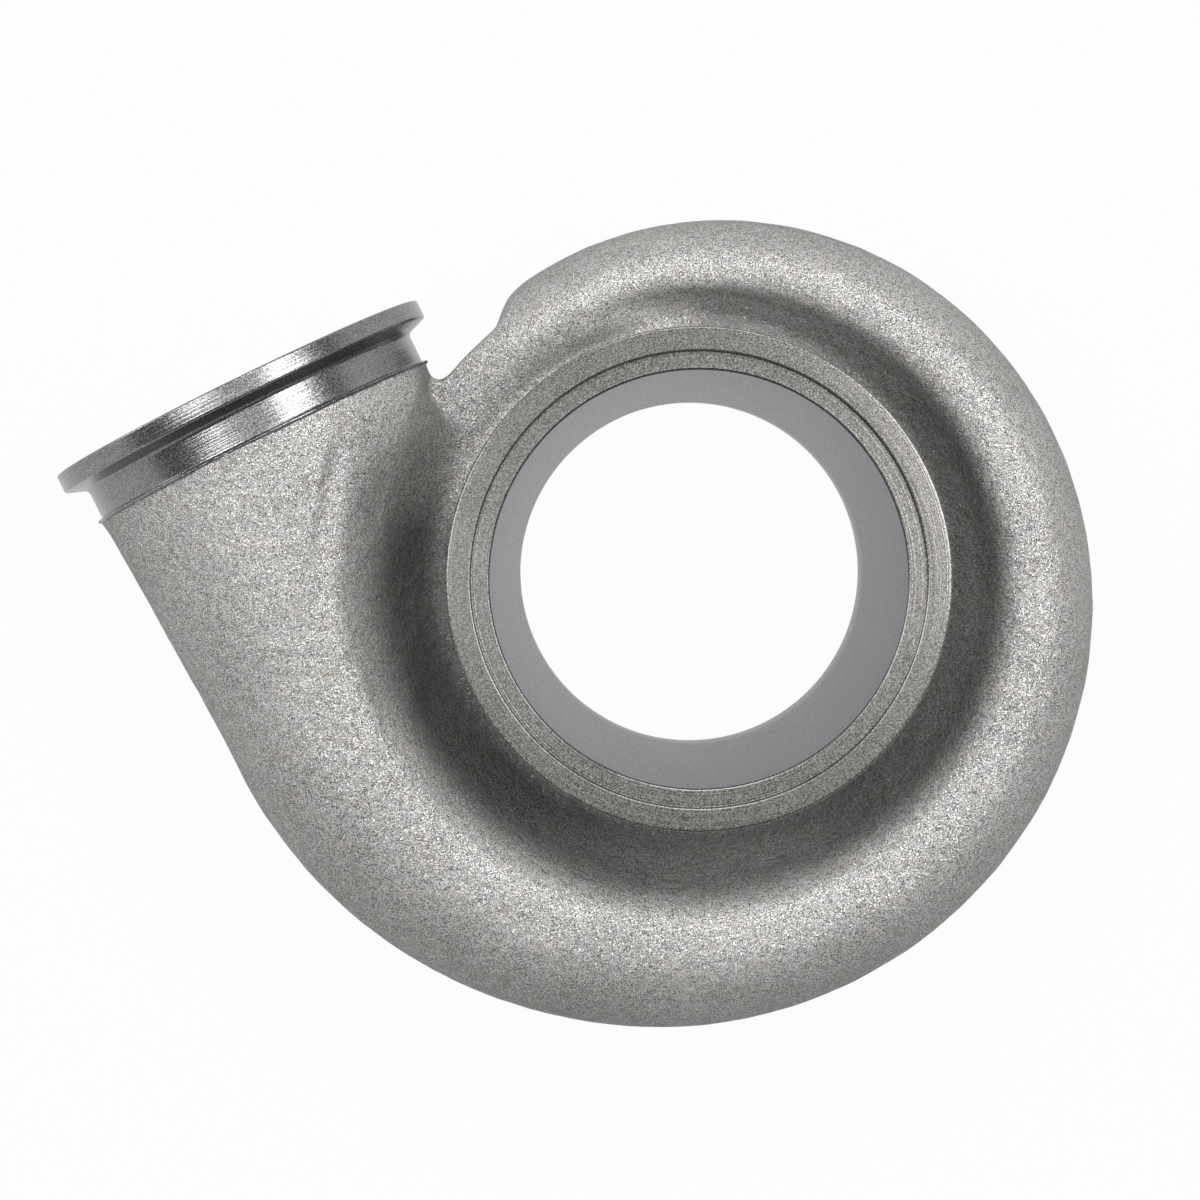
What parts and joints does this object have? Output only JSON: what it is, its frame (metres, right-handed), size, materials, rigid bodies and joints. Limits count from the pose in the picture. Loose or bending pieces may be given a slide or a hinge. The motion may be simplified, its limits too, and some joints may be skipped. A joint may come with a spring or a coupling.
{
  "type": "turbocharger turbine housing",
  "caption": "Cast turbine housing of a turbocharger: a scroll that shrinks round a central outlet, with an inlet neck and a V-band flange at either end of the gas path.",
  "frame": {"origin": "centre of the machined face that bolts to the centre housing, on the turbine axis", "axes": "+Z along the turbine axis towards the discharge flange. The inlet neck points to -X and +Y, 26.3 degrees from +Y. The first bolt hole is on +X."},
  "size_m": [0.2522, 0.1976, 0.098],
  "materials": {
    "cast_housing": "sand-cast skin, turned flanges and bore"
  },
  "bodies": {
    "root": {"turbine_housing": "cast_housing"}
  },
  "joints": []
}
